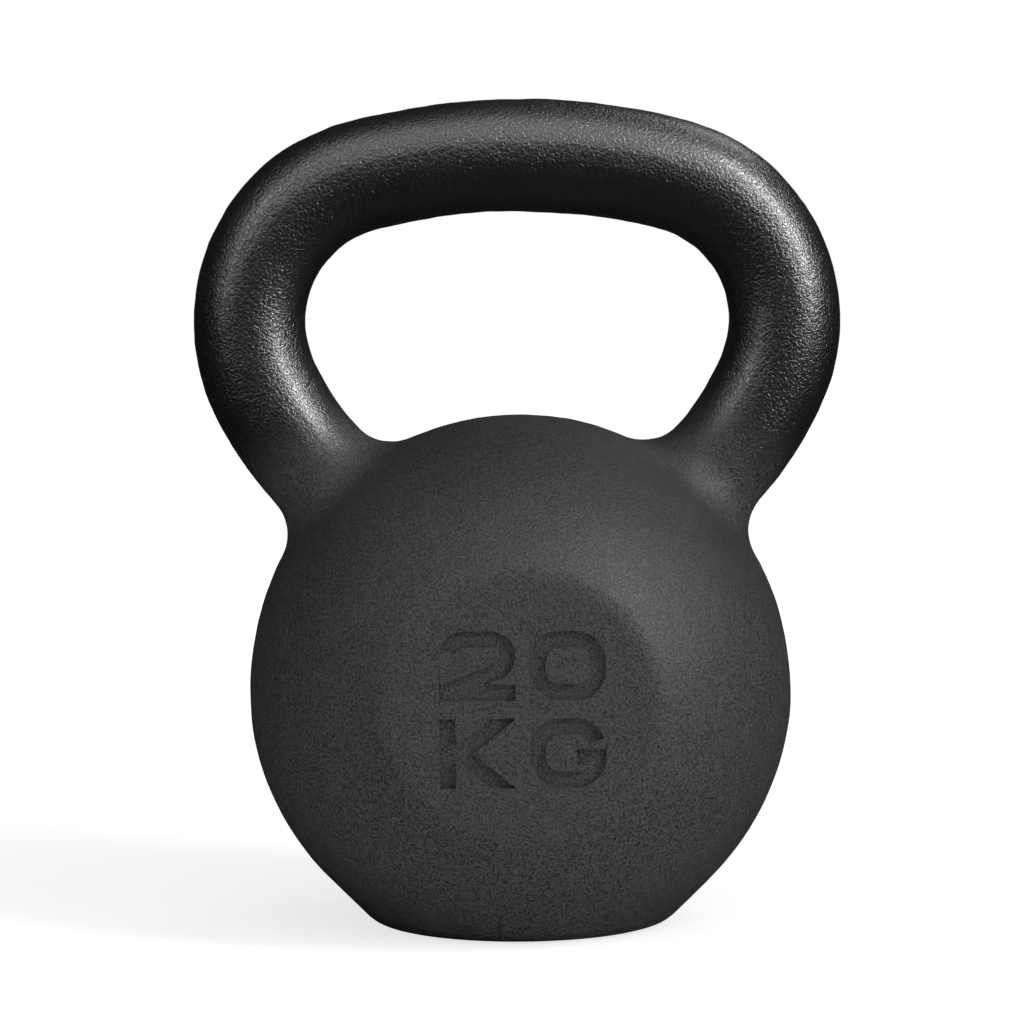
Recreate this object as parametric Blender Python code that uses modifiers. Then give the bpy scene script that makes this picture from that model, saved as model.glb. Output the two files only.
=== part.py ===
"""A kettlebell: one solid iron casting, a round bell with a looped handle.

The casting stands on the floor at the world origin, in metres, with +Z up, its handle along X
and its marked face towards -Y. The handle's legs aim at the bell's centre, so each leg's root
is a turned shape about the leg's own axis, and the fillet there follows from two radii.
"""

import math

import bmesh
import bpy
from mathutils import Matrix, Vector

# Bell
BELL_RADIUS = 0.0846
BASE_RADIUS = 0.0456  # where the skirt's slope would meet the floor
SKIRT_ANGLE = math.radians(45)  # the skirt's slope, from the floor
BASE_EDGE_RADIUS = 0.009
FACE_RADIUS = 0.0408  # the flat faces at the front and the back

# Handle, along its centreline unless it says overall
HANDLE_DIAMETER = 0.0348
HANDLE_WIDTH = 0.202  # overall, over both shoulders
WINDOW_HEIGHT = 0.0635  # from the bell's top to the underside of the grip
CROWN_RADIUS = 0.1935
SHOULDER_RADIUS = 0.0469
SHOULDER_END = math.radians(115.5)  # how far the tube has turned where the leg starts
LEG_RADIUS = 0.1065
ROOT_FILLET_RADIUS = 0.0145

# Weight mark, sunk into the front face
MARK_DEPTH = 0.0015
GLYPH_WIDTH = 0.0225
GLYPH_HEIGHT = 0.0205
GLYPH_STROKE = 0.0048
GLYPH_CORNER = 0.0066  # radius of a glyph's corners along the middle of its stroke
TWO_BOWL = 0.0049  # the same for the bowl of the two
TWO_HOOK = 165  # where the bowl of the two starts, in degrees from +X
G_OPENING = 20  # where the round of the G starts, in degrees from +X
G_BAR = 0.0086  # length of the G's level bar
GLYPH_GAP = 0.004
ROW_GAP = 0.0052

# Fineness of the solid
BELL_STEPS = 64
BELL_ARC_STEP = math.radians(5.6)
TUBE_BEVEL_RESOLUTION = 12
TUBE_ARC_STEP = math.radians(8)
CROWN_ARC_STEP = math.radians(3.2)
EDGE_STEPS = 4
FILLET_STEPS = 8
GLYPH_ARC_STEPS = 6
WELD = 1e-5
ROOT_BITE = 0.00025  # how far the fillet's foot sinks into the bell, so that the two cross clearly
SETTLING_ROUNDS = 12  # for the slopes that are found by repeating a sum
OVERCUT = 0.01  # how far a cutter runs past the surface that it cuts
SHARP_ANGLE = math.radians(35)  # edges sharper than this are shaded as edges

# Worked out from the above
TUBE_RADIUS = HANDLE_DIAMETER / 2
SKIRT_TOP_RADIUS = BELL_RADIUS * math.sin(SKIRT_ANGLE)
SKIRT_TOP_HEIGHT = (SKIRT_TOP_RADIUS - BASE_RADIUS) * math.tan(SKIRT_ANGLE)
BELL_CENTRE = SKIRT_TOP_HEIGHT + BELL_RADIUS * math.cos(SKIRT_ANGLE)
FACE_DISTANCE = math.sqrt(BELL_RADIUS**2 - FACE_RADIUS**2)
CROWN_HEIGHT = BELL_CENTRE + BELL_RADIUS + WINDOW_HEIGHT + TUBE_RADIUS


def start_scene():
    """An empty scene with one collection for the part and one for its cutters."""
    for old in list(bpy.data.objects):
        bpy.data.objects.remove(old)
    part = bpy.data.collections.new("kettlebell")
    cutters = bpy.data.collections.new("cutters")
    for collection in (part, cutters):
        bpy.context.scene.collection.children.link(collection)
    cutters.hide_render = True
    return part, cutters


def make_cutter(obj, cutters):
    obj.hide_render = True
    obj.display_type = "WIRE"
    cutters.objects.link(obj)
    return obj


def mesh_of_curve(curve_object, collection):
    """The curve's solid as a mesh object with its caps welded. The curve goes."""
    collection.objects.link(curve_object)
    bpy.context.view_layer.update()
    graph = bpy.context.evaluated_depsgraph_get()
    mesh = bpy.data.meshes.new_from_object(curve_object.evaluated_get(graph))
    shape = bmesh.new()
    shape.from_mesh(mesh)
    bmesh.ops.remove_doubles(shape, verts=shape.verts, dist=WELD)
    bmesh.ops.recalc_face_normals(shape, faces=shape.faces)
    shape.to_mesh(mesh)
    shape.free()
    name, place = curve_object.name, curve_object.matrix_world.copy()
    bpy.data.objects.remove(curve_object)
    solid = bpy.data.objects.new(name, mesh)
    solid.matrix_world = place
    return solid


def arc(centre, radius, start, end, steps):
    """Points round a circle, with angles from +X towards the second axis."""
    angles = [start + (end - start) * i / steps for i in range(steps + 1)]
    return [(centre[0] + radius * math.cos(a), centre[1] + radius * math.sin(a)) for a in angles]


# Bell


def bell_profile():
    """The bell's outline as (radius, height), from the pole down its outer side to the floor."""
    ball_end = SKIRT_ANGLE - math.pi / 2
    steps = math.ceil((math.pi / 2 - ball_end) / BELL_ARC_STEP)
    ball = arc((0, BELL_CENTRE), BELL_RADIUS, math.pi / 2, ball_end, steps)
    ball[0] = (0.0, BELL_CENTRE + BELL_RADIUS)
    flat_radius = BASE_RADIUS - BASE_EDGE_RADIUS * math.tan(SKIRT_ANGLE / 2)
    edge_centre = (flat_radius, BASE_EDGE_RADIUS)
    edge = arc(edge_centre, BASE_EDGE_RADIUS, ball_end, -math.pi / 2, EDGE_STEPS)
    return ball + edge + [(0.0, 0.0)]


def make_bell(part):
    profile = [Vector((radius, 0, height)) for radius, height in bell_profile()]
    mesh = bpy.data.meshes.new("cast_body")
    mesh.from_pydata(profile, [(i, i + 1) for i in range(len(profile) - 1)], [])
    bell = bpy.data.objects.new("cast_body", mesh)
    part.objects.link(bell)
    turn = bell.modifiers.new("turn", "SCREW")
    turn.steps = turn.render_steps = BELL_STEPS
    turn.use_merge_vertices = True
    turn.merge_threshold = WELD
    return bell


# Handle


def outward(turned):
    """The way out from an arc's centre to where the tube has turned by that angle from level."""
    return Vector((math.sin(turned), math.cos(turned)))


def handle_arcs():
    """The centres of the crown, shoulder and leg arcs, where the crown ends, and the leg's lean.

    The shoulder starts where its circle, touching the crown's, gives the handle its width. The leg
    ends straight, on the line from the bell's centre that touches the leg's circle.
    """
    shoulder_reach = HANDLE_WIDTH / 2 - TUBE_RADIUS - SHOULDER_RADIUS
    crown_end = math.asin(shoulder_reach / (CROWN_RADIUS - SHOULDER_RADIUS))
    crown = Vector((0, CROWN_HEIGHT - CROWN_RADIUS))
    shoulder = crown + (CROWN_RADIUS - SHOULDER_RADIUS) * outward(crown_end)
    leg = shoulder - (LEG_RADIUS - SHOULDER_RADIUS) * outward(SHOULDER_END)
    reach = leg - Vector((0, BELL_CENTRE))
    lean = math.atan2(reach.x, reach.y) + math.asin(LEG_RADIUS / reach.length)
    return crown, shoulder, leg, crown_end, lean


def half_handle():
    """From the crown to the foot: (x, z, tube radius), with the root's fillet in the last radii."""
    crown, shoulder, leg, crown_end, lean = handle_arcs()
    runs = (
        (crown, CROWN_RADIUS, 0.0, crown_end, CROWN_ARC_STEP),
        (shoulder, SHOULDER_RADIUS, crown_end, SHOULDER_END, TUBE_ARC_STEP),
        (leg, LEG_RADIUS, SHOULDER_END, math.pi / 2 + lean, TUBE_ARC_STEP),
    )
    line = [(0.0, CROWN_HEIGHT)]
    for centre, radius, begin, end, step in runs:
        steps = math.ceil((end - begin) / step)
        line += arc(centre, radius, math.pi / 2 - begin, math.pi / 2 - end, steps)[1:]
    points = [(x, z, TUBE_RADIUS) for x, z in line]
    # The fillet touches the tube and a ball just under the bell's skin.
    off_axis = TUBE_RADIUS + ROOT_FILLET_RADIUS
    off_centre = BELL_RADIUS - ROOT_BITE + ROOT_FILLET_RADIUS
    along = math.sqrt(off_centre**2 - off_axis**2)
    sweep = math.atan2(along, off_axis)
    fillet = arc((along, off_axis), ROOT_FILLET_RADIUS, -math.pi / 2, -math.pi / 2 - sweep, FILLET_STEPS)
    foot = fillet[-1]
    fillet.append((foot[0] - ROOT_FILLET_RADIUS, foot[1]))
    points = [p for p in points if math.hypot(p[0], p[1] - BELL_CENTRE) > along + WELD]
    for distance, radius in fillet:
        points.append((distance * math.sin(lean), BELL_CENTRE + distance * math.cos(lean), radius))
    return points


def make_handle(cutters):
    """The tube from foot to foot. It is a helper: the bell takes it in by a Boolean union."""
    half = half_handle()
    line = [(-x, z, radius) for x, z, radius in reversed(half)] + half[1:]
    curve = bpy.data.curves.new("handle", "CURVE")
    curve.dimensions = "3D"
    curve.bevel_depth = TUBE_RADIUS
    curve.bevel_resolution = TUBE_BEVEL_RESOLUTION
    curve.use_fill_caps = True
    spline = curve.splines.new("POLY")
    spline.points.add(len(line) - 1)
    for point, (x, z, radius) in zip(spline.points, line):
        point.co = (x, 0, z, 1)
        point.radius = radius / TUBE_RADIUS
    return make_cutter(mesh_of_curve(bpy.data.objects.new("handle", curve), cutters), cutters)


# Flat faces


def make_face_cutter(name, side, cutters):
    """A block whose near side is the flat face on that side of the bell, -1 for the front."""
    depth = BELL_RADIUS - FACE_DISTANCE + OVERCUT
    shape = bmesh.new()
    bmesh.ops.create_cube(shape, size=1)
    bmesh.ops.scale(shape, vec=(2 * BELL_RADIUS, depth, 2 * BELL_RADIUS), verts=shape.verts)
    mesh = bpy.data.meshes.new(name)
    shape.to_mesh(mesh)
    shape.free()
    cutter = bpy.data.objects.new(name, mesh)
    cutter.location = (0, side * (FACE_DISTANCE + depth / 2), BELL_CENTRE)
    return make_cutter(cutter, cutters)


# Weight mark. A glyph is drawn about its own centre, and its strokes are closed outlines.

ACROSS = (GLYPH_WIDTH - GLYPH_STROKE) / 2
UP = (GLYPH_HEIGHT - GLYPH_STROKE) / 2
HALF_STROKE = GLYPH_STROKE / 2
CORNER = min(GLYPH_CORNER, UP, ACROSS)


def corner(side_x, side_z, start, end, radius=None):
    """Part of the glyph's rounded corner on that side, in degrees from +X."""
    radius = radius or CORNER
    steps = max(1, round(GLYPH_ARC_STEPS * abs(end - start) / 90))
    centre = (side_x * (ACROSS - radius), side_z * (UP - radius))
    return arc(centre, radius, math.radians(start), math.radians(end), steps)


def stroke(path):
    """The outline of a stroke of even width along an open path."""
    points = [Vector(p) for p in path]
    left, right = [], []
    for i, point in enumerate(points):
        before = point - points[i - 1] if i else points[1] - point
        after = points[i + 1] - point if i + 1 < len(points) else before
        heading = (before.normalized() + after.normalized()).normalized()
        normal = Vector((-heading.y, heading.x))
        reach = HALF_STROKE / heading.dot(after.normalized())
        left.append(point + normal * reach)
        right.append(point - normal * reach)
    return left + right[::-1]


def bar(left, right, height):
    return [
        (left, height - HALF_STROKE),
        (right, height - HALF_STROKE),
        (right, height + HALF_STROKE),
        (left, height + HALF_STROKE),
    ]


def glyph_two():
    """A bowl that runs into a slanted stroke, and a level foot. The slant ends inside the foot's corner."""
    bowl = (ACROSS - TWO_BOWL, UP - TWO_BOWL)
    slope = 0.0
    for _ in range(SETTLING_ROUNDS):
        left = -GLYPH_WIDTH / 2 + HALF_STROKE * math.sin(slope)
        end = (left, -UP + HALF_STROKE * (1 - math.cos(slope)))
        reach = math.hypot(bowl[0] - end[0], bowl[1] - end[1])
        slope = math.atan2(bowl[1] - end[1], bowl[0] - end[0]) - math.asin(TWO_BOWL / reach)
    leave = math.degrees(slope) - 90
    hook = corner(-1, 1, TWO_HOOK, 90, TWO_BOWL)
    turn = corner(1, 1, 90, leave, TWO_BOWL)
    return [[stroke(hook + turn + [end])], [bar(-GLYPH_WIDTH / 2, GLYPH_WIDTH / 2, -UP)]]


def ring(grow):
    """The nought's closed outline, grown out from the middle of its stroke."""
    points = []
    for side_x, side_z, start in ((1, 1, 0), (-1, 1, 90), (-1, -1, 180), (1, -1, 270)):
        centre = (side_x * (ACROSS - CORNER), side_z * (UP - CORNER))
        first, last = math.radians(start), math.radians(start + 90)
        points += arc(centre, CORNER + grow, first, last, GLYPH_ARC_STEPS)
    return points


def glyph_nought():
    return [[ring(HALF_STROKE), ring(-HALF_STROKE)]]


def glyph_k():
    """A stem, and two arms with level ends whose outer edges meet on the stem's middle line."""
    top = GLYPH_HEIGHT / 2
    right = GLYPH_WIDTH / 2
    lean = math.radians(45)
    for _ in range(SETTLING_ROUNDS):
        width = GLYPH_STROKE / math.sin(lean)
        lean = math.atan2(top, right + ACROSS - width)
    stem = stroke([(-ACROSS, -top), (-ACROSS, top)])
    lower = [(right - width, -top), (right, -top), (width - ACROSS, 0)]
    upper = [(right, top), (right - width, top), (-ACROSS, 0)]
    return [[stem], [lower + upper]]


def glyph_g():
    """An open round, and a level bar turned in from where the round ends."""
    upper = corner(1, 1, G_OPENING, 90) + corner(-1, 1, 90, 180)
    lower = corner(-1, -1, 180, 270) + corner(1, -1, 270, 360)
    right = GLYPH_WIDTH / 2
    return [[stroke(upper + lower)], [bar(right - G_BAR, right, lower[-1][1])]]


def make_mark_cutters(cutters):
    """One solid for each outline of the two rows, twenty over kilograms."""
    column = (GLYPH_WIDTH + GLYPH_GAP) / 2
    row = (GLYPH_HEIGHT + ROW_GAP) / 2
    glyphs = (
        ("two", glyph_two(), -column, row),
        ("nought", glyph_nought(), column, row),
        ("k", glyph_k(), -column, -row),
        ("g", glyph_g(), column, -row),
    )
    made = []
    stand_up = Matrix.Rotation(math.pi / 2, 4, "X")
    for name, outlines, x, z in glyphs:
        for number, loops in enumerate(outlines):
            curve = bpy.data.curves.new(f"mark_{name}_{number}", "CURVE")
            curve.dimensions = "2D"
            curve.fill_mode = "BOTH"
            curve.extrude = (MARK_DEPTH + OVERCUT) / 2
            for loop in loops:
                spline = curve.splines.new("POLY")
                spline.points.add(len(loop) - 1)
                spline.use_cyclic_u = True
                for point, (across, up) in zip(spline.points, loop):
                    point.co = (across, up, 0, 1)
            outline = bpy.data.objects.new(curve.name, curve)
            middle = -FACE_DISTANCE + MARK_DEPTH - curve.extrude
            outline.matrix_world = Matrix.Translation((x, middle, BELL_CENTRE + z)) @ stand_up
            made.append(make_cutter(mesh_of_curve(outline, cutters), cutters))
    return made


# Assembly


def boolean(target, operation, other):
    step = target.modifiers.new(other.name, "BOOLEAN")
    step.operation = operation
    step.solver = "EXACT"
    step.object = other


def black_powder_coat():
    material = bpy.data.materials.new("black_powder_coat")
    material.use_nodes = True
    shader = material.node_tree.nodes["Principled BSDF"]
    shader.inputs["Base Color"].default_value = (0.022, 0.022, 0.023, 1)
    shader.inputs["Metallic"].default_value = 0.0
    shader.inputs["Roughness"].default_value = 0.55
    return material


def main():
    part, cutters = start_scene()
    body = make_bell(part)
    boolean(body, "UNION", make_handle(cutters))
    boolean(body, "DIFFERENCE", make_face_cutter("front_face", -1, cutters))
    boolean(body, "DIFFERENCE", make_face_cutter("back_face", 1, cutters))
    for cutter in make_mark_cutters(cutters):
        boolean(body, "DIFFERENCE", cutter)
    body.data.materials.append(black_powder_coat())
    body.data.shade_smooth()
    body.data.set_sharp_from_angle(angle=SHARP_ANGLE)


main()
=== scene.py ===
# %% [markdown]
# # A 20 kg kettlebell in black powder coat
#
# A cast kettlebell is one solid lump of iron: a ball that stands on a flat base, with a looped
# handle that grows out of it through soft fillets. It has no seams and nothing on it moves, so
# the whole model is a single piece. What makes it look real is its skin: a textured powder coat,
# pebbled on the handle, fine and matt on the ball, over the gentle unevenness of a sand casting.
#
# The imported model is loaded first. It gives the frame: where the casting stands, and its size.

# %% Load the frame
import math

import bmesh
import bpy
from mathutils import Matrix, Vector


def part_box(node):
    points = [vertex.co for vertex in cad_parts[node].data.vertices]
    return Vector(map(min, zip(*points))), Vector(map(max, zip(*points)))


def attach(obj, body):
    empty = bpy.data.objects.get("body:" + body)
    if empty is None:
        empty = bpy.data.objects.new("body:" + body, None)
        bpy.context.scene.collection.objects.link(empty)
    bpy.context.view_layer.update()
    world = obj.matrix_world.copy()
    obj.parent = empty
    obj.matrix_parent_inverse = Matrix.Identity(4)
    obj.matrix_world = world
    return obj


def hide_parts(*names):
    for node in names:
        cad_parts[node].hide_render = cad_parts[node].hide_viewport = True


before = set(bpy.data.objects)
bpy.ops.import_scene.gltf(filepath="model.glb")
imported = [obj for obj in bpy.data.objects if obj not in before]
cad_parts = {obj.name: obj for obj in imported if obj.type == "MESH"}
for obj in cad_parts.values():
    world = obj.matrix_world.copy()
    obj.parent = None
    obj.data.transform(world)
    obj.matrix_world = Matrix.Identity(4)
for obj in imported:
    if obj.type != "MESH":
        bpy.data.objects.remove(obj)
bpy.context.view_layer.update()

casting_low, casting_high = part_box("cast_body")
print("The casting's box:", [round(side, 4) for side in casting_high - casting_low])

# %% [markdown]
# ## Camera
#
# A long lens from about a metre away keeps the ball round and the handle's two legs alike. The
# camera stands a little above the ball's middle and looks slightly down, so the base shows as a
# shallow curve. It is set up first, because every later look is judged through it.

# %% Camera
CAMERA_PLACE = (-0.0111, -1.1049, 0.1853)
CAMERA_DOWN = math.radians(2.955)
CAMERA_TURN = math.radians(-0.471)
CAMERA_TILT = math.radians(-0.456)
CAMERA_LENS = 124.3  # millimetres, on a sensor 36 mm wide

aim = Matrix.Rotation(CAMERA_TURN, 4, "Z") @ Matrix.Rotation(math.pi / 2 - CAMERA_DOWN, 4, "X")
aim = aim @ Matrix.Rotation(CAMERA_TILT, 4, "Z")
bpy.ops.object.camera_add(location=CAMERA_PLACE, rotation=aim.to_euler())
camera = bpy.context.object
camera.name = "camera"
camera.data.lens = CAMERA_LENS
camera.data.clip_end = 60
bpy.context.scene.camera = camera
print("Camera:", camera.data.lens, "mm lens")

# %% [markdown]
# ## Helpers
#
# An operator acts on everything that is selected, so each step starts by clearing the selection
# and making one object active. In edit mode, corners, edges and faces are then picked by where
# they are, as a person would pick them with the mouse.


# %% Helpers
def activate(piece):
    """Makes one object the only one selected, and the active one."""
    if bpy.context.object and bpy.context.object.mode != "OBJECT":
        bpy.ops.object.mode_set(mode="OBJECT")
    bpy.ops.object.select_all(action="DESELECT")
    piece.select_set(True)
    bpy.context.view_layer.objects.active = piece


def start_edit(piece, kind="VERT"):
    activate(piece)
    bpy.ops.object.mode_set(mode="EDIT")
    bpy.ops.mesh.select_mode(type=kind)
    bpy.ops.mesh.select_all(action="DESELECT")


def end_edit():
    bpy.ops.object.mode_set(mode="OBJECT")


def pick(piece, kind, wanted):
    """In edit mode, selects the corners, edges or faces that the test says yes to.

    Returns how many it selected.
    """
    bpy.ops.mesh.select_mode(type=kind)
    bpy.ops.mesh.select_all(action="DESELECT")
    shape = bmesh.from_edit_mesh(piece.data)
    items = {"VERT": shape.verts, "EDGE": shape.edges, "FACE": shape.faces}[kind]
    count = 0
    for item in items:
        if wanted(item):
            item.select_set(True)
            count += 1
    bmesh.update_edit_mesh(piece.data)
    return count


def name_new(name):
    """Names the object that an operator has just added, and its mesh."""
    piece = bpy.context.object
    piece.name = piece.data.name = name
    return piece


def apply_modifier(piece, kind, **settings):
    """Adds a modifier, sets it, and applies it."""
    activate(piece)
    bpy.ops.object.modifier_add(type=kind)
    modifier = piece.modifiers[-1]
    for key, value in settings.items():
        setattr(modifier, key, value)
    bpy.ops.object.modifier_apply(modifier=modifier.name)


def count_faces(piece):
    """How many triangles the piece has once its faces are split."""
    return sum(len(face.vertices) - 2 for face in piece.data.polygons)


# %% [markdown]
# ## The bell
#
# The bell is a ball. Near the floor it turns into a short 45 degree skirt, and it ends in a round
# flat base, so that it stands without rocking. The front and the back are flat too, as round
# faces about as wide as a hand, which lie against the forearm.
#
# It could be turned from a profile with a Screw modifier. A UV sphere is quicker here: one bisect
# takes off the cap below the skirt, the open edge is extruded down to the floor and scaled in,
# and two more bisects cut the flat faces. Bevels then round the edges, as foundry patterns are
# rounded so that the sand lets go.

# %% Sizes of the bell
BELL_RADIUS = 0.0846
BASE_RADIUS = 0.0456  # where the skirt would meet the floor if its edge were sharp
SKIRT_ANGLE = math.radians(45)
BASE_EDGE_ROUND = 0.009
FACE_RADIUS = 0.0408
FACE_EDGE_ROUND = 0.0016  # how far the flat face's rounded edge reaches on each side
ON_PLANE = 1e-5  # corners this close to a plane lie on it

floor_level = casting_low.z
skirt_top_radius = BELL_RADIUS * math.sin(SKIRT_ANGLE)
skirt_height = (skirt_top_radius - BASE_RADIUS) * math.tan(SKIRT_ANGLE)
bell_centre = Vector((0, 0, floor_level + skirt_height + BELL_RADIUS * math.cos(SKIRT_ANGLE)))
face_distance = math.sqrt(BELL_RADIUS**2 - FACE_RADIUS**2)
print("Bell centre", round(bell_centre.z, 4), "flat faces at", round(face_distance, 4))

# %% The ball, its skirt and its base
bpy.ops.object.select_all(action="DESELECT")
bpy.ops.mesh.primitive_uv_sphere_add(
    segments=128, ring_count=80, radius=BELL_RADIUS, location=bell_centre
)
bell = name_new("bell")
bpy.ops.object.transform_apply(location=True, rotation=True, scale=True)

start_edit(bell)
bpy.ops.mesh.select_all(action="SELECT")
bpy.ops.mesh.bisect(
    plane_co=(0, 0, floor_level + skirt_height), plane_no=(0, 0, 1), clear_inner=True
)
bpy.ops.mesh.extrude_region_move(TRANSFORM_OT_translate={"value": (0, 0, -skirt_height)})
narrow = BASE_RADIUS / skirt_top_radius
bpy.ops.transform.resize(value=(narrow, narrow, 1), center_override=(0, 0, floor_level))
bpy.ops.mesh.edge_face_add()

pick(bell, "EDGE", lambda edge: all(v.co.z < floor_level + ON_PLANE for v in edge.verts))
bpy.ops.mesh.bevel(
    offset=BASE_EDGE_ROUND * math.tan(SKIRT_ANGLE / 2), segments=6, profile=0.5, affect="EDGES"
)
end_edit()
print("Ball, skirt and base:", count_faces(bell), "triangles")

# %% The flat faces
start_edit(bell)
for side in (-1, 1):
    bpy.ops.mesh.select_all(action="SELECT")
    bpy.ops.mesh.bisect(
        plane_co=(0, side * face_distance, 0),
        plane_no=(0, side, 0),
        clear_outer=True,
        use_fill=True,
    )


def on_face_rim(edge):
    """Whether an edge runs round one of the flat faces."""
    return all(abs(abs(v.co.y) - face_distance) < ON_PLANE for v in edge.verts)


rim_edges = pick(bell, "EDGE", on_face_rim)
bpy.ops.mesh.bevel(offset=FACE_EDGE_ROUND, segments=4, profile=0.5, affect="EDGES")
end_edit()
print("Flat faces cut, with", rim_edges, "rim edges rounded")

# %% [markdown]
# ## The handle
#
# The handle is a thick round bar bent into a loop: a nearly level crown for the grip, two tight
# shoulders, and two gently bowed legs that aim at the middle of the ball. Where a leg meets the
# ball it swells into a fillet, so that the iron has no sharp corner to crack from.
#
# A curve with a bevel depth could make it. Here one circle is swept instead, because each bend is
# a true arc: Spin carries the ring round the crown, the shoulder and the leg, one after another.
# The fillet is then made by extruding the last ring and scaling it, step by step, along a quarter
# of a circle. A mirror gives the other half.

# %% Sizes of the handle
HANDLE_RADIUS = 0.0174
HANDLE_WIDTH = casting_high.x - casting_low.x
CROWN_BEND = 0.1935
SHOULDER_BEND = 0.0469
SHOULDER_END = math.radians(115.5)  # how far the bar has turned where the leg starts
LEG_BEND = 0.1065
ROOT_FILLET = 0.0145
ROOT_SINK = 0.012  # how far the bar goes on into the ball
CROWN_STEPS = 12
SHOULDER_STEPS = 28
LEG_STEPS = 10

crown_top = casting_high.z - HANDLE_RADIUS


def outward(turned):
    """The way from an arc's centre to where the bar has turned by that angle."""
    return Vector((math.sin(turned), 0, math.cos(turned)))


crown_middle = Vector((0, 0, crown_top - CROWN_BEND))
shoulder_reach = HANDLE_WIDTH / 2 - HANDLE_RADIUS - SHOULDER_BEND
crown_end = math.asin(shoulder_reach / (CROWN_BEND - SHOULDER_BEND))
shoulder_middle = crown_middle + (CROWN_BEND - SHOULDER_BEND) * outward(crown_end)
leg_middle = shoulder_middle - (LEG_BEND - SHOULDER_BEND) * outward(SHOULDER_END)
reach = leg_middle - bell_centre
lean = math.atan2(reach.x, reach.z) + math.asin(LEG_BEND / reach.length)
print("Legs lean", round(math.degrees(lean), 1), "degrees from upright")

# %% Sweep the bar
bpy.ops.object.select_all(action="DESELECT")
bpy.ops.mesh.primitive_circle_add(
    vertices=64,
    radius=HANDLE_RADIUS,
    location=(0, 0, crown_top),
    rotation=(0, math.pi / 2, 0),
)
handle = name_new("handle")
bpy.ops.object.transform_apply(location=True, rotation=True, scale=True)

start_edit(handle)
bpy.ops.mesh.select_all(action="SELECT")
for middle, angle, steps in (
    (crown_middle, crown_end, CROWN_STEPS),
    (shoulder_middle, SHOULDER_END - crown_end, SHOULDER_STEPS),
    (leg_middle, math.pi / 2 + lean - SHOULDER_END, LEG_STEPS),
):
    bpy.ops.mesh.spin(steps=steps, angle=angle, center=middle, axis=(0, -1, 0))


def selected_middle(piece):
    """The middle of the selected ring."""
    shape = bmesh.from_edit_mesh(piece.data)
    ring = [v.co for v in shape.verts if v.select]
    return sum(ring, Vector()) / len(ring)


leg_end = selected_middle(handle)
leg_axis = (bell_centre - leg_end).normalized()
print("The leg ends", round((bell_centre - leg_end).length, 4), "from the ball's centre")

# %% The root's fillet
FILLET_RINGS = 10
SHORTEST_RING = 0.0002  # rings closer together than this are left out

fillet_off_axis = HANDLE_RADIUS + ROOT_FILLET
fillet_along = math.sqrt((BELL_RADIUS + ROOT_FILLET) ** 2 - fillet_off_axis**2)
sweep = math.atan2(fillet_along, fillet_off_axis)
ring_distance = (bell_centre - leg_end).length
ring_radius = HANDLE_RADIUS


def next_ring(distance, radius):
    """Extrudes the last ring to a new distance from the ball's centre, at a new radius."""
    global ring_distance, ring_radius
    step = leg_axis * (ring_distance - distance)
    bpy.ops.mesh.extrude_region_move(TRANSFORM_OT_translate={"value": step})
    swell = radius / ring_radius
    place = bell_centre - leg_axis * distance
    bpy.ops.transform.resize(value=(swell, swell, swell), center_override=place)
    ring_distance, ring_radius = distance, radius


for ring in range(1, FILLET_RINGS + 1):
    angle = sweep * ring / FILLET_RINGS
    distance = fillet_along - ROOT_FILLET * math.sin(angle)
    if distance < ring_distance - SHORTEST_RING:
        next_ring(distance, fillet_off_axis - ROOT_FILLET * math.cos(angle))
next_ring(ring_distance - ROOT_SINK, ring_radius)
bpy.ops.mesh.edge_face_add()
end_edit()

apply_modifier(handle, "MIRROR", use_axis=(True, False, False), merge_threshold=ON_PLANE)
start_edit(handle)
bpy.ops.mesh.select_all(action="SELECT")
bpy.ops.mesh.normals_make_consistent(inside=False)
end_edit()
print("Handle:", count_faces(handle), "triangles")

# %% [markdown]
# ## One casting
#
# The bell and the handle are poured as one, so they become one skin: a Boolean union joins them,
# and a voxel remesh rebuilds the surface as even little quads. The remesh also melts the last
# crease where each fillet runs out on the ball. A few rounds of smoothing take away its steps.

# %% Join and remesh
VOXEL = 0.00143
SMOOTHINGS = 6

activate(bell)
apply_modifier(bell, "BOOLEAN", operation="UNION", solver="EXACT", object=handle)
activate(handle)
bpy.ops.object.delete()

casting = bell
casting.name = casting.data.name = "kettlebell_casting"
apply_modifier(casting, "REMESH", mode="VOXEL", voxel_size=VOXEL, use_smooth_shade=True)
apply_modifier(casting, "SMOOTH", factor=0.5, iterations=SMOOTHINGS)
print("Casting:", count_faces(casting), "triangles")

# %% [markdown]
# ## What the foundry leaves
#
# Iron poured in sand is never as true as its drawing. The skin swells and dips by a few tenths of
# a millimetre over a hand's breadth, and a thin line runs round the middle where the two halves
# of the mould met, ground down but never quite gone. Both are real relief, so both are moved
# into the mesh by Displace modifiers, each held to its own vertex group.

# %% Vertex groups
SEAM_HALF_WIDTH = 0.0016
SEAM_START = 0.004  # how far above the floor the mould line starts
FACE_BORDER = 0.0003  # the flat faces and the base stay true up to these distances from them,
BASE_BORDER = 0.003
FACE_MARGIN = 0.006  # and the unevenness grows to its full depth over these
BASE_MARGIN = 0.012


def part_way(distance, border, margin):
    """0 up to the border, and 1 once the margin beyond it is crossed."""
    return min(1.0, max(0.0, (distance - border) / margin))


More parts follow.
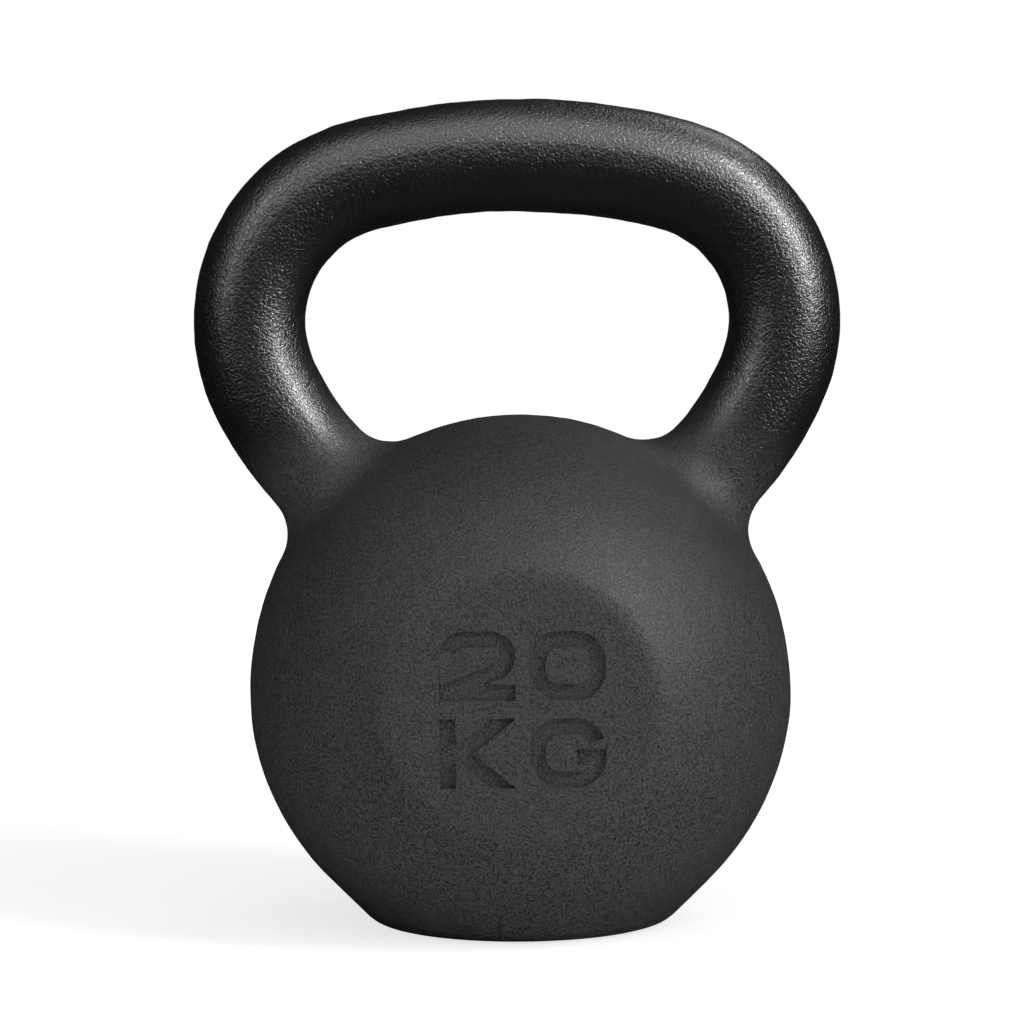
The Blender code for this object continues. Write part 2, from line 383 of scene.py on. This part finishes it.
uneven = casting.vertex_groups.new(name="uneven")
seam = casting.vertex_groups.new(name="seam")
for vertex in casting.data.vertices:
    place = vertex.co
    above_base = part_way(place.z - floor_level, BASE_BORDER, BASE_MARGIN)
    before_face = part_way(face_distance - abs(place.y), FACE_BORDER, FACE_MARGIN)
    uneven.add([vertex.index], above_base * before_face, "REPLACE")
    near_seam = max(0.0, 1 - abs(place.y) / SEAM_HALF_WIDTH)
    if near_seam > 0 and place.z > floor_level + SEAM_START:
        seam.add([vertex.index], near_seam**0.5, "REPLACE")
print("Weighted", len(casting.data.vertices), "corners")

# %% Unevenness and the mould line
# name, size of the clouds, their detail, height, level that stays put, vertex group
RELIEFS = (
    ("casting_swells", 0.045, 1, 0.0010, 0.5, "uneven"),
    ("casting_dimples", 0.011, 2, 0.00028, 0.5, "uneven"),
    ("mould_line_flash", 0.006, 2, 0.0005, 0.30, "seam"),
)

for name, size, detail, strength, middle, group in RELIEFS:
    texture = bpy.data.textures.new(name, "CLOUDS")
    texture.noise_scale = size
    texture.noise_depth = detail
    apply_modifier(
        casting,
        "DISPLACE",
        texture=texture,
        texture_coords="GLOBAL",
        strength=strength,
        mid_level=middle,
        vertex_group=group,
    )
low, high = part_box("cast_body")
print("Displaced casting:", [round(side, 4) for side in casting.dimensions])
print("The box it keeps to:", [round(side, 4) for side in high - low])

# %% [markdown]
# ## True flats
#
# The base and the two round faces are the only true planes on the casting, and the remesh and the
# smoothing have softened them. Their corners are pressed back onto one plane and their small faces
# dissolve into one. One clean face at the front is also what the weight mark can be cut into with
# crisp edges.

# %% Press the flats
FLAT_DEPTH = 0.0008  # skin further than this from the plane isn't pressed


def press_flat(middle, normal, radius):
    """Presses the skin within a radius of a point onto the plane there, as one face."""
    middle, normal = Vector(middle), Vector(normal)

    def close(place, reach):
        offset = place - middle
        height = offset.dot(normal)
        return abs(height) < FLAT_DEPTH and (offset - normal * height).length < reach

    start_edit(casting)
    picked = pick(casting, "VERT", lambda vertex: close(vertex.co, radius))
    squeeze = [0.0 if abs(axis) > 0.5 else 1.0 for axis in normal]
    bpy.ops.transform.resize(value=squeeze, center_override=middle)
    bpy.ops.mesh.select_mode(type="FACE")
    bpy.ops.mesh.dissolve_faces()
    end_edit()
    return picked


front_middle = Vector((0, -face_distance, bell_centre.z))
back_middle = Vector((0, face_distance, bell_centre.z))
base_flat = BASE_RADIUS - BASE_EDGE_ROUND * math.tan(SKIRT_ANGLE / 2)
for middle, normal, radius in (
    (front_middle, (0, -1, 0), FACE_RADIUS - FACE_EDGE_ROUND - VOXEL),
    (back_middle, (0, 1, 0), FACE_RADIUS - FACE_EDGE_ROUND - VOXEL),
    ((0, 0, floor_level), (0, 0, -1), base_flat - VOXEL),
):
    print("Pressed", press_flat(middle, normal, radius), "corners flat")

# %% [markdown]
# ## The weight mark
#
# The weight is sunk into the front face, in two rows of plain rounded letters whose strokes are
# all one width. Each stroke is drawn the way a pen plotter would: a short upright edge as wide as
# the stroke is extruded for a straight run and spun for a bend. The ribbon that this leaves is
# extruded back into a solid cutter, and a Boolean takes it out of the casting.

# %% Sizes of the mark
MARK_DEPTH = 0.0015
GLYPH_WIDTH = 0.0225
GLYPH_HEIGHT = 0.0205
STROKE = 0.0048
GLYPH_BEND = 0.0066  # radius of the letters' corners, along the middle of the stroke
TWO_BEND = 0.0049  # the same for the bowl of the two
TWO_HOOK = math.radians(75)  # how far the two's hook hangs over
G_OPENING = math.radians(20)  # how far up its bend the G's upper end starts
G_BAR = 0.0086  # length of the G's bar
GLYPH_GAP = 0.004
ROW_GAP = 0.0052
CUT_CLEARANCE = 0.004  # how far the cutters stand out in front of the face
BEND_STEP = math.radians(12)
TWO_ROUNDS = 6  # tries after which the slope of the two stands still
K_ROUNDS = 12  # the same for the lean of the K's arms

across = (GLYPH_WIDTH - STROKE) / 2
up = (GLYPH_HEIGHT - STROKE) / 2
column = (GLYPH_WIDTH + GLYPH_GAP) / 2
row = (GLYPH_HEIGHT + ROW_GAP) / 2
cutters = []


# %% A pen that draws strokes
def draw_stroke(name, middle, start, heading, moves, width=STROKE):
    """Draws one stroke of the mark and makes it a cutter.

    middle is the letter's centre across and up, start is where the stroke starts from there, and
    heading is its angle from level. A move is ("run", length), ("bend", radius, angle), where a
    positive angle bends to the left, or ("slide", ahead, to the left), which doesn't turn the pen.
    """
    bpy.ops.object.select_all(action="DESELECT")
    bpy.ops.mesh.primitive_plane_add(size=width, location=(0, 0, 0))
    pen = name_new(name)
    start_edit(pen)
    pick(pen, "VERT", lambda vertex: vertex.co.x > 0)
    bpy.ops.mesh.delete(type="VERT")
    bpy.ops.mesh.select_all(action="SELECT")
    bpy.ops.transform.translate(value=(width / 2, 0, 0))
    # The edge now lies along Y at the origin, and the pen sets off along +X.
    place, turned = Vector((0, 0, 0)), 0.0
    for move in moves:
        along = Vector((math.cos(turned), math.sin(turned), 0))
        left = Vector((-along.y, along.x, 0))
        if move[0] in ("run", "slide"):
            step = along * move[1] + left * (move[2] if move[0] == "slide" else 0)
            bpy.ops.mesh.extrude_region_move(TRANSFORM_OT_translate={"value": step})
            place += step
        else:
            radius, bend = move[1], move[2]
            turn_about = place + left * radius * (1 if bend > 0 else -1)
            steps = max(2, round(abs(bend) / BEND_STEP))
            bpy.ops.mesh.spin(steps=steps, angle=bend, center=turn_about, axis=(0, 0, -1))
            place = turn_about + Matrix.Rotation(bend, 3, "Z") @ (place - turn_about)
            turned += bend
    end_edit()
    return stand_up(pen, middle, start, heading)


def stand_up(pen, middle, start, heading):
    """Moves a flat ribbon to its place in front of the face and gives it thickness."""
    in_letter = Matrix.Translation((start[0], start[1], 0)) @ Matrix.Rotation(heading, 4, "Z")
    at_row = Matrix.Translation((middle[0], middle[1], 0))
    upright = Matrix.Rotation(math.pi / 2, 4, "X")
    deep = Matrix.Translation((0, -face_distance + MARK_DEPTH, bell_centre.z))
    pen.data.transform(deep @ upright @ at_row @ in_letter)
    start_edit(pen)
    bpy.ops.mesh.select_all(action="SELECT")
    bpy.ops.mesh.remove_doubles(threshold=ON_PLANE)
    out = MARK_DEPTH + CUT_CLEARANCE
    bpy.ops.mesh.extrude_region_move(TRANSFORM_OT_translate={"value": (0, -out, 0)})
    bpy.ops.mesh.select_all(action="SELECT")
    bpy.ops.mesh.normals_make_consistent(inside=False)
    end_edit()
    cutters.append(pen)
    return pen


# %% The nought
quarter = math.pi / 2
wide_run = ("run", 2 * (across - GLYPH_BEND))
tall_run = ("run", 2 * (up - GLYPH_BEND))
corner = ("bend", GLYPH_BEND, quarter)

nought_at = (column, row)
loop = [tall_run, corner, wide_run, corner, tall_run, corner, wide_run, corner]
draw_stroke("mark_nought", nought_at, (across, GLYPH_BEND - up), quarter, loop)

# %% The two
two_at = (-column, row)
bowl = Vector((across - TWO_BEND, up - TWO_BEND))
slope = 0.0
for _ in range(TWO_ROUNDS):
    foot_x = -GLYPH_WIDTH / 2 + STROKE / 2 * math.sin(slope)
    foot_z = -up + STROKE / 2 * (1 - math.cos(slope))
    reach = math.hypot(bowl.x - foot_x, bowl.y - foot_z)
    slope = math.atan2(bowl.y - foot_z, bowl.x - foot_x) - math.asin(TWO_BEND / reach)
hook_start = (
    TWO_BEND - across - TWO_BEND * math.sin(TWO_HOOK),
    up - TWO_BEND + TWO_BEND * math.cos(TWO_HOOK),
)
pen_moves = [
    ("bend", TWO_BEND, -TWO_HOOK),
    ("run", 2 * (across - TWO_BEND)),
    ("bend", TWO_BEND, slope - math.pi),
    ("run", math.sqrt(reach**2 - TWO_BEND**2)),
]
draw_stroke("mark_two", two_at, hook_start, TWO_HOOK, pen_moves)
draw_stroke("mark_two_foot", two_at, (-GLYPH_WIDTH / 2, -up), 0.0, [("run", GLYPH_WIDTH)])

# %% The K
k_at = (-column, -row)
top = GLYPH_HEIGHT / 2
right = GLYPH_WIDTH / 2
k_lean = math.radians(45)
for _ in range(K_ROUNDS):
    arm_width = STROKE / math.sin(k_lean)
    k_lean = math.atan2(top, right + across - arm_width)
arm_run = right + across - arm_width
draw_stroke("mark_k", k_at, (-across, -top), quarter, [("run", GLYPH_HEIGHT)])
arms = [("slide", top, -arm_run), ("slide", top, arm_run)]
draw_stroke("mark_k_arms", k_at, (right - arm_width / 2, top), -quarter, arms, arm_width)

# %% The G
g_at = (column, -row)
g_start = (
    across - GLYPH_BEND + GLYPH_BEND * math.cos(G_OPENING),
    up - GLYPH_BEND + GLYPH_BEND * math.sin(G_OPENING),
)
pen_moves = [
    ("bend", GLYPH_BEND, quarter - G_OPENING),
    wide_run,
    corner,
    tall_run,
    corner,
    wide_run,
    corner,
]
draw_stroke("mark_g", g_at, g_start, quarter + G_OPENING, pen_moves)
bar_left = (GLYPH_WIDTH / 2 - G_BAR, GLYPH_BEND - up)
draw_stroke("mark_g_bar", g_at, bar_left, 0.0, [("run", G_BAR)])
print("Strokes drawn:", len(cutters))

# %% Cut the mark
for cutter in cutters:
    apply_modifier(casting, "BOOLEAN", operation="DIFFERENCE", solver="EXACT", object=cutter)
    activate(cutter)
    bpy.ops.object.delete()
print("Marked casting:", count_faces(casting), "triangles")

# %% Soften the mark's edges
RIM_ROUND = 0.00042
FLOOR_ROUND = 0.00035
MARK_WELD = 6e-5  # slivers left by the cuts are welded, so that they don't hold the bevels back
LAST_WELD = 1e-6  # the same after the bevels, for corners that fell on one spot
MARK_REACH = 0.036  # the mark lies within this distance of the face's middle
AT_DEPTH = 2e-5  # corners this close to a depth lie at it
UPRIGHT = 0.2  # a wall's normal has less than this along the depth,
LEVEL = 0.9  # and a flat's normal has more than this

rim_depth = -face_distance
pocket_depth = -face_distance + MARK_DEPTH


def mark_edge(depth):
    """A test for the edges of the mark at one depth, between a flat and an upright wall."""

    def wanted(edge):
        if len(edge.link_faces) != 2:
            return False
        if any(abs(v.co.y - depth) > AT_DEPTH for v in edge.verts):
            return False
        lean = sorted(abs(face.normal.y) for face in edge.link_faces)
        return lean[0] < UPRIGHT and lean[1] > LEVEL

    return wanted


def weld_mark(threshold):
    """Welds the corners of the mark that lie closer together than the threshold."""

    def in_mark(vertex):
        deep = vertex.co.y < pocket_depth + AT_DEPTH
        return deep and (vertex.co - front_middle).length < MARK_REACH

    pick(casting, "VERT", in_mark)
    bpy.ops.mesh.remove_doubles(threshold=threshold)


start_edit(casting)
weld_mark(MARK_WELD)
for depth, offset in ((rim_depth, RIM_ROUND), (pocket_depth, FLOOR_ROUND)):
    picked = pick(casting, "EDGE", mark_edge(depth))
    bpy.ops.mesh.bevel(offset=offset, segments=3, profile=0.5, affect="EDGES", clamp_overlap=True)
    print("Rounded", picked, "edges of the mark")
weld_mark(LAST_WELD)
end_edit()
print("Casting:", count_faces(casting), "triangles")

# %% Shading
SHARP_ANGLE = math.radians(40)

activate(casting)
bpy.ops.object.shade_smooth_by_angle(angle=SHARP_ANGLE)
apply_modifier(casting, "WEIGHTED_NORMAL", mode="FACE_AREA", weight=50, keep_sharp=True)
print("Shaded smooth up to", round(math.degrees(SHARP_ANGLE)), "degrees")

# %% [markdown]
# ## Powder coat
#
# Powder coat is sprayed on as dry powder and melted in an oven. The texture kind doesn't flow out
# flat: it sets in tiny pebbles with narrow valleys between them. On this casting the pebbles are
# large and glossy on the handle, where the coat is thick, and fine and matt on the ball.
#
# The pebbles come from a noise pattern that is warped and sharpened in a node group, so that the
# handle and the ball can use it at their own scales. A group puts out only heights and masks. The
# shader stays in the material. It could be two materials, but the gloss fades over the fillets, so
# one material with a soft mask says it better. The real coat is one layer, only shinier on the
# handle. Here the extra shine is the shader's coat, which the mask fades in.


# %% Node helpers
def add_node(tree, kind, **settings):
    """Adds a node and sets its options."""
    node = tree.nodes.new(kind)
    for key, value in settings.items():
        setattr(node, key, value)
    return node


def feed(tree, value, socket):
    """Gives a socket a plain number or colour, or links another socket to it."""
    if isinstance(value, (int, float, tuple)):
        socket.default_value = value
    else:
        tree.links.new(value, socket)


def math_node(tree, operation, first, second):
    """A Math node. Each input is a socket or a number."""
    node = add_node(tree, "ShaderNodeMath", operation=operation)
    for socket, value in zip(node.inputs, (first, second)):
        feed(tree, value, socket)
    return node.outputs[0]


def mix_tones(tree, factor, first, second):
    """A colour Mix node. Each tone is a socket or a colour."""
    node = add_node(tree, "ShaderNodeMix", data_type="RGBA")
    feed(tree, factor, node.inputs["Factor"])
    feed(tree, first, node.inputs["A"])
    feed(tree, second, node.inputs["B"])
    return node.outputs["Result"]


def map_range(tree, value, low, high, to_low=0.0, to_high=1.0):
    """A smooth ramp from one range of values to another."""
    node = add_node(tree, "ShaderNodeMapRange", interpolation_type="SMOOTHSTEP")
    tree.links.new(value, node.inputs["Value"])
    for name, number in (
        ("From Min", low),
        ("From Max", high),
        ("To Min", to_low),
        ("To Max", to_high),
    ):
        node.inputs[name].default_value = number
    return node.outputs["Result"]


def noise_node(tree, vector, scale, detail, distortion=0.0):
    """A noise pattern. Its scale is a socket or a number."""
    node = add_node(tree, "ShaderNodeTexNoise")
    feed(tree, scale, node.inputs["Scale"])
    node.inputs["Detail"].default_value = detail
    node.inputs["Roughness"].default_value = 0.5
    node.inputs["Distortion"].default_value = distortion
    tree.links.new(vector, node.inputs["Vector"])
    return node.outputs["Fac"]


# %% The pebble group
PEBBLE_VALLEY = 0.3  # noise levels at which the valleys and the tops flatten out
PEBBLE_TOP = 0.66


def make_pebble_group():
    """Pebbled relief of textured powder coat, from 0 in the valleys to 1 on the tops."""
    group = bpy.data.node_groups.new("powder_pebbles", "ShaderNodeTree")
    face = group.interface
    face.new_socket("Place", in_out="INPUT", socket_type="NodeSocketVector")
    face.new_socket("Scale", in_out="INPUT", socket_type="NodeSocketFloat")
    face.new_socket("Height", in_out="OUTPUT", socket_type="NodeSocketFloat")
    start = group.nodes.new("NodeGroupInput")
    finish = group.nodes.new("NodeGroupOutput")
    noise = noise_node(group, start.outputs["Place"], start.outputs["Scale"], 2.0, distortion=0.5)
    height = map_range(group, noise, PEBBLE_VALLEY, PEBBLE_TOP)
    group.links.new(height, finish.inputs["Height"])
    return group


pebbles = make_pebble_group()
print("Group:", pebbles.name)


# %% The powder coat
HANDLE_PEBBLE = 1150.0  # noise cells in a metre
BELL_PEBBLE = 1500.0
RELIEF = 0.00010  # height of the handle's pebbles, in metres
BELL_RELIEF = 0.9  # height of the ball's, as a share of the handle's
BORDER_START = BELL_RADIUS + 0.012  # where the handle's coat begins, from the ball's centre
BORDER_END = BELL_RADIUS + 0.044
BORDER_WANDER = 0.016
BORDER_WAVES = 30.0  # noise cells in a metre, along the border and in the patches of gloss
PATCH_WAVES = 22.0
BELL_ROUGHNESS = 0.54
HANDLE_ROUGHNESS = 0.42
PATCHES = 0.03  # how far the roughness drifts up and down in patches
CLEAR_IOR = 1.8
CLEAR_ROUGHNESS = 0.25
# Coat black, with painted shade in the pebbles' valleys and painted glints on their tops.
BELL_SHADED_VALLEY = (0.006, 0.006, 0.0062, 1)
BELL_LIT_TOP = (0.030, 0.030, 0.031, 1)
HANDLE_SHADED_VALLEY = (0.0012, 0.0012, 0.0012, 1)
HANDLE_LIT_TOP = (0.0024, 0.0024, 0.0024, 1)


def place_pebbles(tree, place, scale):
    """The pebble group in a material, at its own scale."""
    node = add_node(tree, "ShaderNodeGroup", node_tree=pebbles)
    tree.links.new(place, node.inputs["Place"])
    node.inputs["Scale"].default_value = scale
    return node.outputs["Height"]


def make_powder_coat():
    """The coat: matt and fine on the ball, glossy and pebbled on the handle."""
    coat = bpy.data.materials.new("black_powder_coat")
    coat.use_nodes = True
    tree = coat.node_tree
    shader = tree.nodes["Principled BSDF"]
    shader.inputs["Metallic"].default_value = 0.0
    shader.inputs["Specular IOR Level"].default_value = 0.5
    shader.inputs["Coat IOR"].default_value = CLEAR_IOR
    shader.inputs["Coat Roughness"].default_value = CLEAR_ROUGHNESS
    place = add_node(tree, "ShaderNodeTexCoord").outputs["Object"]

    # How far up the casting: 0 on the ball, 1 on the handle, with a soft wandering border.
    from_centre = add_node(tree, "ShaderNodeVectorMath", operation="DISTANCE")
    tree.links.new(place, from_centre.inputs[0])
    from_centre.inputs[1].default_value = bell_centre
    wander = noise_node(tree, place, BORDER_WAVES, 2.0)
    wander = math_node(tree, "MULTIPLY", wander, BORDER_WANDER)
    reach = math_node(tree, "ADD", from_centre.outputs["Value"], wander)
    on_handle = map_range(tree, reach, BORDER_START, BORDER_END)
    tree.links.new(on_handle, shader.inputs["Coat Weight"])

    # The pebbles, as relief under both the coat's own gloss and the clear layer's.
    handle_height = place_pebbles(tree, place, HANDLE_PEBBLE)
    bell_height = place_pebbles(tree, place, BELL_PEBBLE)
    coarse = math_node(tree, "MULTIPLY", handle_height, on_handle)
    off_handle = map_range(tree, on_handle, 0.0, 1.0, BELL_RELIEF, 0.0)
    fine = math_node(tree, "MULTIPLY", bell_height, off_handle)
    bump = add_node(tree, "ShaderNodeBump")
    bump.inputs["Strength"].default_value = 1.0
    bump.inputs["Distance"].default_value = RELIEF
    tree.links.new(math_node(tree, "ADD", coarse, fine), bump.inputs["Height"])
    tree.links.new(bump.outputs["Normal"], shader.inputs["Normal"])
    tree.links.new(bump.outputs["Normal"], shader.inputs["Coat Normal"])

    # Gloss, which drifts a little in patches where the powder lay thicker.
    gloss = map_range(tree, on_handle, 0.0, 1.0, BELL_ROUGHNESS, HANDLE_ROUGHNESS)
    drift = noise_node(tree, place, PATCH_WAVES, 3.0)
    patches = map_range(tree, drift, 0.3, 0.7, -PATCHES, PATCHES)
    tree.links.new(math_node(tree, "ADD", gloss, patches), shader.inputs["Roughness"])

    # Colour: the coat's black, with painted shade in the pebbles' valleys and painted glints on
    # their tops.
    bell_black_and_shade = mix_tones(tree, bell_height, BELL_SHADED_VALLEY, BELL_LIT_TOP)
    handle_black_and_shade = mix_tones(tree, handle_height, HANDLE_SHADED_VALLEY, HANDLE_LIT_TOP)
    black_and_painted_shade = mix_tones(tree, on_handle, bell_black_and_shade, handle_black_and_shade)
    tree.links.new(black_and_painted_shade, shader.inputs["Base Color"])
    print("Material:", coat.name, "with", len(tree.nodes), "nodes")
    return coat


casting.data.materials.clear()
casting.data.materials.append(make_powder_coat())

# %% Hand the casting over to the frame
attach(casting, "root")
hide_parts("cast_body")

# %% [markdown]
# ## Floor and light
#
# The kettlebell stands on a white sweep in a bright studio. The floor is lit until it is nearly
# pure white, so only the contact line and a faint soft shadow to the left show where the iron
# stands. The sweep also glows by itself for the camera, a little more further away, so that it
# meets the white room without a horizon.
#
# Black needs shaped light to be read at all. A tall narrow softbox on the right draws the bright
# streaks along the handle and lights the upper right of the ball, a weaker one on the left
# answers it, and a wide one overhead draws the band along the crown. What the iron mirrors of the
# floor and the room is kept much darker than what it gets as soft bounced light, or the handle's
# underside would turn grey.

# %% Floor
FLOOR_SIZE = 30.0
PAPER_GLOW = 0.74  # the sweep's own light at the kettlebell; it reaches 1 further away
PAPER_GLOW_START = 0.25
PAPER_GLOW_END = 1.0
PAPER_SHADOW = 0.35  # how much of the lamps' light the camera sees on it, which sets the shadow
PAPER_BOUNCE = 2.5
PAPER_MIRRORED = 0.02


def make_paper():
    """The white sweep, which the camera, the bounced light and the reflections see differently."""
    paper = bpy.data.materials.new("white_paper")
    paper.use_nodes = True
    tree = paper.node_tree
    tree.nodes.clear()
    out = add_node(tree, "ShaderNodeOutputMaterial")
    path = add_node(tree, "ShaderNodeLightPath")
    diffuse_ray, camera_ray = path.outputs["Is Diffuse Ray"], path.outputs["Is Camera Ray"]

    bounce = map_range(tree, diffuse_ray, 0.0, 1.0, PAPER_MIRRORED, PAPER_BOUNCE)
    shadow_tone = (PAPER_SHADOW, PAPER_SHADOW, PAPER_SHADOW, 1)
    lit = add_node(tree, "ShaderNodeBsdfDiffuse")
    tree.links.new(mix_tones(tree, camera_ray, bounce, shadow_tone), lit.inputs["Color"])

    away = add_node(tree, "ShaderNodeVectorMath", operation="LENGTH")
    tree.links.new(add_node(tree, "ShaderNodeTexCoord").outputs["Object"], away.inputs[0])
    away = away.outputs["Value"]
    glow = map_range(tree, away, PAPER_GLOW_START, PAPER_GLOW_END, PAPER_GLOW, 1.0)
    own = add_node(tree, "ShaderNodeEmission")
    tree.links.new(math_node(tree, "MULTIPLY", glow, camera_ray), own.inputs["Strength"])

    both = add_node(tree, "ShaderNodeAddShader")
    tree.links.new(lit.outputs["BSDF"], both.inputs[0])
    tree.links.new(own.outputs["Emission"], both.inputs[1])
    tree.links.new(both.outputs["Shader"], out.inputs["Surface"])
    return paper


bpy.ops.object.select_all(action="DESELECT")
bpy.ops.mesh.primitive_plane_add(size=FLOOR_SIZE, location=(0, 0, floor_level))
studio_floor = name_new("studio_floor")
bpy.ops.object.transform_apply(location=True, rotation=True, scale=True)
studio_floor.data.materials.append(make_paper())
print("Floor at", round(floor_level, 4))

# %% Room light
ROOM_SEEN = 1.0
ROOM_MIRRORED = 0.015
ROOM_BOUNCE = 0.2

world = bpy.data.worlds.new("white_room")
bpy.context.scene.world = world
world.use_nodes = True
room_tree = world.node_tree
room = room_tree.nodes["Background"]
room.inputs["Color"].default_value = (1, 1, 1, 1)
path = add_node(room_tree, "ShaderNodeLightPath")
seen = map_range(room_tree, path.outputs["Is Camera Ray"], 0, 1, 0, ROOM_SEEN)
bounced = map_range(room_tree, path.outputs["Is Diffuse Ray"], 0, 1, ROOM_MIRRORED, ROOM_BOUNCE)
room_tree.links.new(math_node(room_tree, "MAXIMUM", seen, bounced), room.inputs["Strength"])
print("Room:", world.name)

# %% Softboxes
LIGHT_TARGET = Vector((0, 0, floor_level + 0.15))
LIGHT_DISTANCE = 1.5


def softbox(name, turn, height, width, tall, power):
    """A rectangular area light that looks at the kettlebell.

    turn is its angle round from the camera's side, to the right, and height its angle above level.
    """
    turn, height = math.radians(turn), math.radians(height)
    level = math.cos(height)
    away = Vector((math.sin(turn) * level, -math.cos(turn) * level, math.sin(height)))
    look = (-away).to_track_quat("-Z", "Y").to_euler()
    place = LIGHT_TARGET + away * LIGHT_DISTANCE
    bpy.ops.object.light_add(type="AREA", location=place, rotation=look)
    light = bpy.context.object
    light.name = light.data.name = name
    light.data.shape = "RECTANGLE"
    light.data.size = width
    light.data.size_y = tall
    light.data.energy = power
    print("Light:", name, power, "W")


softbox("front_softbox", 5, 56, 1.6, 1.5, 9.0)
softbox("key_strip", 57, 30, 0.25, 1.2, 21.0)
softbox("left_strip", -52, 28, 0.25, 1.2, 4.0)
softbox("back_softbox", 140, 50, 0.5, 0.5, 2.0)

view = bpy.context.scene.view_settings
view.view_transform = "Standard"
view.look = "None"
view.exposure = 0.0
